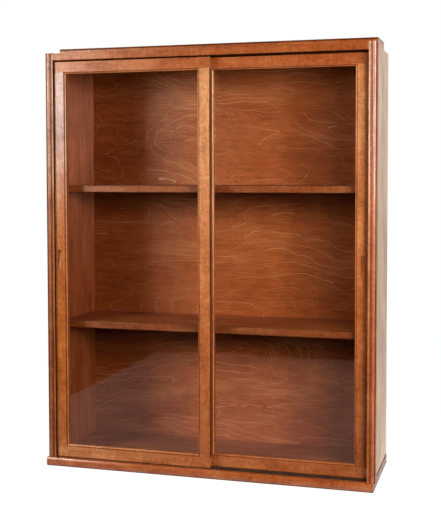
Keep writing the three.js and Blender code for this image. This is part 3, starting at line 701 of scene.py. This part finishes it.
def smoothing():
    """Geometry nodes that shade smoothly, but for edges that turn by more than SMOOTH_ANGLE."""
    tree = bpy.data.node_groups.new("smooth_by_angle", "GeometryNodeTree")
    tree.interface.new_socket("Geometry", in_out="INPUT", socket_type="NodeSocketGeometry")
    tree.interface.new_socket("Geometry", in_out="OUTPUT", socket_type="NodeSocketGeometry")
    n = Nodes(tree)
    start = n.add("NodeGroupInput").outputs[0]
    angle = n.add("GeometryNodeInputMeshEdgeAngle").outputs["Unsigned Angle"]
    flat = n.add("FunctionNodeCompare", {0: angle, 1: SMOOTH_ANGLE}, operation="LESS_THAN").outputs[0]
    faces = n.add("GeometryNodeSetShadeSmooth", {"Geometry": start, "Shade Smooth": True}, domain="FACE")
    inputs = {"Geometry": faces.outputs[0], "Shade Smooth": flat}
    edges = n.add("GeometryNodeSetShadeSmooth", inputs, domain="EDGE")
    n.add("NodeGroupOutput", {0: edges.outputs[0]})
    return tree


SMOOTHING = smoothing()


def soften(obj, width):
    """Clean flats, a small arris on each edge, which takes a second material, and smooth rounds."""
    obj.modifiers.new("weld", "WELD").merge_threshold = WELD_REACH
    flats = obj.modifiers.new("flats", "DECIMATE")
    flats.decimate_type = "DISSOLVE"
    flats.angle_limit = FLAT_ANGLE
    arris = obj.modifiers.new("arris", "BEVEL")
    arris.width = width
    arris.segments = 2
    arris.limit_method = "ANGLE"
    arris.angle_limit = ARRIS_ANGLE
    arris.miter_outer = "MITER_ARC"
    arris.material = len(obj.data.materials) - 1
    smooth = obj.modifiers.new("smooth", "NODES")
    smooth.node_group = SMOOTHING
    level = obj.modifiers.new("level", "WEIGHTED_NORMAL")
    level.keep_sharp = True


def dress(obj, *materials):
    """Gives a CAD node its materials."""
    obj.data.materials.clear()
    for material in materials:
        obj.data.materials.append(material)


# From one piece to the next: how far away in the figure it is cut, and how pale solid wood is stained
SHIFT_STEP = Vector((0.731, 0.417, 0.293))
PALENESS_STEPS = (1.0, 0.95, 1.04, 0.98, 1.06, 0.93, 1.02)
# Piece, figure, finish, the axis that its grain runs along, and how pale its stain is
WOOD = [
    ("base_board", "solid", "eased", "x", 0.88),
    ("left_post", "solid", "moulded", "z", 0.74),
    ("right_post", "solid", "burnished", "z", 1.05),
    ("left_side_panel", "veneer", "veneer", "z", 0.84),
    ("right_side_panel", "veneer", "veneer", "z", 0.84),
    ("top_board", "veneer", "matt", "x", 0.80),
    ("front_rail", "solid", "satin", "x", 0.80),
    ("crown_board", "solid", "polished", "x", 0.86),
    ("interior_floor", "veneer", "matt", "x", 0.60),
    ("back_panel", "rotary", "rotary", "x", 0.78),
    ("upper_shelf_board", "veneer", "matt", "x", 0.60),
    ("upper_shelf_lipping", "solid", "matt", "x", 0.56),
    ("lower_shelf_board", "veneer", "matt", "x", 0.60),
    ("lower_shelf_lipping", "solid", "matt", "x", 0.54),
    ("left_door_outer_stile", "solid", "lacquered", "z", 0.92),
    ("right_door_outer_stile", "solid", "oiled", "z", 1.14),
]
DOOR_WOOD = [
    ("top_rail", "solid", "satin", "x", 0.82),
    ("bottom_rail", "solid", "polished", "x", 0.98),
    ("inner_stile", "solid", "polished", "z", 1.0),
    ("glazing_bead_bottom", "solid", "matt", "x", 0.85),
    ("glazing_bead_top", "solid", "matt", "x", 0.85),
    ("glazing_bead_left", "solid", "matt", "z", 0.85),
    ("glazing_bead_right", "solid", "matt", "z", 0.85),
]


def dress_frame():
    """Gives each CAD node its materials and its worn edges."""
    arris, glass, dark, bright = worn_arris(), window_glass(), plastic(), zinc()
    wood = list(WOOD)
    for door in ("left_door", "right_door"):
        wood += [(f"{door}_{piece}", *rest) for piece, *rest in DOOR_WOOD]
    for number, (name, figure, finish, grain, paleness) in enumerate(wood):
        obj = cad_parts[name]
        paleness *= PALENESS_STEPS[number % len(PALENESS_STEPS)] if figure == "solid" else 1.0
        shift = Vector() if figure == "rotary" else SHIFT_STEP * number
        dress(obj, birch(name, figure, finish, grain, shift, paleness), arris)
        soften(obj, ARRIS_WIDTH)
    for name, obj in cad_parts.items():
        if name.endswith("_glass"):
            dress(obj, glass)
        elif "_pin_" in name or "_screw_" in name:
            dress(obj, bright)
            soften(obj, SMALL_ARRIS)
        elif "track" in name or "channel" in name or "glide" in name:
            dress(obj, dark)
            soften(obj, SMALL_ARRIS)


def camera():
    """The camera that looks at the bookcase from the right of its middle."""
    data = bpy.data.cameras.new("camera")
    data.sensor_width = SENSOR_WIDTH
    data.lens = FOCAL_LENGTH
    data.shift_x = SHIFT_X
    data.shift_y = SHIFT_Y
    obj = bpy.data.objects.new("camera", data)
    level = Matrix.Rotation(CAMERA_YAW, 4, "Z") @ Matrix.Rotation(math.pi / 2 + CAMERA_PITCH, 4, "X")
    obj.matrix_world = Matrix.Translation(CAMERA_PLACE) @ level @ Matrix.Rotation(CAMERA_ROLL, 4, "Z")
    bpy.context.scene.collection.objects.link(obj)
    bpy.context.scene.camera = obj


def softbox(name, place, target, size, power):
    """A rectangular lamp that faces the target."""
    data = bpy.data.lights.new(name, "AREA")
    data.shape = "RECTANGLE"
    data.size, data.size_y = size
    data.energy = power
    obj = bpy.data.objects.new(name, data)
    obj.location = place
    obj.rotation_euler = (Vector(target) - Vector(place)).to_track_quat("-Z", "Y").to_euler()
    bpy.context.scene.collection.objects.link(obj)


def table_material():
    """The table, white to the camera. In lacquer and panes it glows, and most behind the object."""
    material, n = new_material("white_table")
    depth = own_place(n, "Y")
    path = n.add("ShaderNodeLightPath").outputs
    glossy = n.math("MAXIMUM", path["Is Glossy Ray"], path["Is Transmission Ray"])
    seen = n.math("ADD", n.spread(depth, *GLOW_BEFORE), n.spread(depth, *GLOW_BEHIND))
    mirrored = n.math("MULTIPLY", seen, glossy)
    strength = n.add("ShaderNodeMix", {0: path["Is Camera Ray"], 2: mirrored, 3: TABLE_WHITE}).outputs[0]
    diffuse = n.add("ShaderNodeBsdfDiffuse", {"Color": TABLE_GREY}).outputs[0]
    glow = n.add("ShaderNodeEmission", {"Color": WHITE, "Strength": strength}).outputs[0]
    lit = n.add("ShaderNodeAddShader", {0: diffuse, 1: glow}).outputs[0]
    n.add("ShaderNodeOutputMaterial", {"Surface": lit})
    return material


def studio():
    """A white table, soft lamps at the left and right, and a pale backdrop behind."""
    mesh = bpy.data.meshes.new("table")
    corners = [
        (TABLE_LEFT, TABLE_FRONT, 0.0),
        (TABLE_RIGHT, TABLE_FRONT, 0.0),
        (TABLE_RIGHT, TABLE_REAR, 0.0),
        (TABLE_LEFT, TABLE_REAR, 0.0),
    ]
    mesh.from_pydata(corners, [], [(0, 1, 2, 3)])
    mesh.materials.append(table_material())
    table = bpy.data.objects.new("table", mesh)
    bpy.context.scene.collection.objects.link(table)

    world = bpy.data.worlds.new("studio")
    world.use_nodes = True
    n = Nodes(world.node_tree)
    towards = n.add("ShaderNodeTexCoord").outputs["Generated"]
    parts = n.add("ShaderNodeSeparateXYZ", {0: towards}).outputs
    behind = n.math("POWER", n.math("MAXIMUM", parts["Y"], 0.0), GLOW_NARROWNESS)
    beside = n.math("POWER", n.math("MAXIMUM", parts["X"], 0.0), GLOW_NARROWNESS)
    glow = n.math("MULTIPLY_ADD", behind, BACKDROP_GLOW, n.math("MULTIPLY", beside, SIDE_GLOW))
    seen = n.add("ShaderNodeLightPath").outputs["Is Camera Ray"]
    strength = n.add("ShaderNodeMix", {0: seen, 2: glow, 3: 1.0}).outputs[0]
    back = n.add("ShaderNodeBackground", {"Color": WHITE, "Strength": strength})
    n.add("ShaderNodeOutputWorld", {"Surface": back.outputs[0]})
    bpy.context.scene.world = world

    for name, place, size, power in LAMPS:
        softbox(name, place, (0.0, LAMP_AIM, place[2] - LAMP_DROP), size, power)


camera()
studio()
dress_frame()

bpy.context.scene.view_settings.view_transform = "Standard"
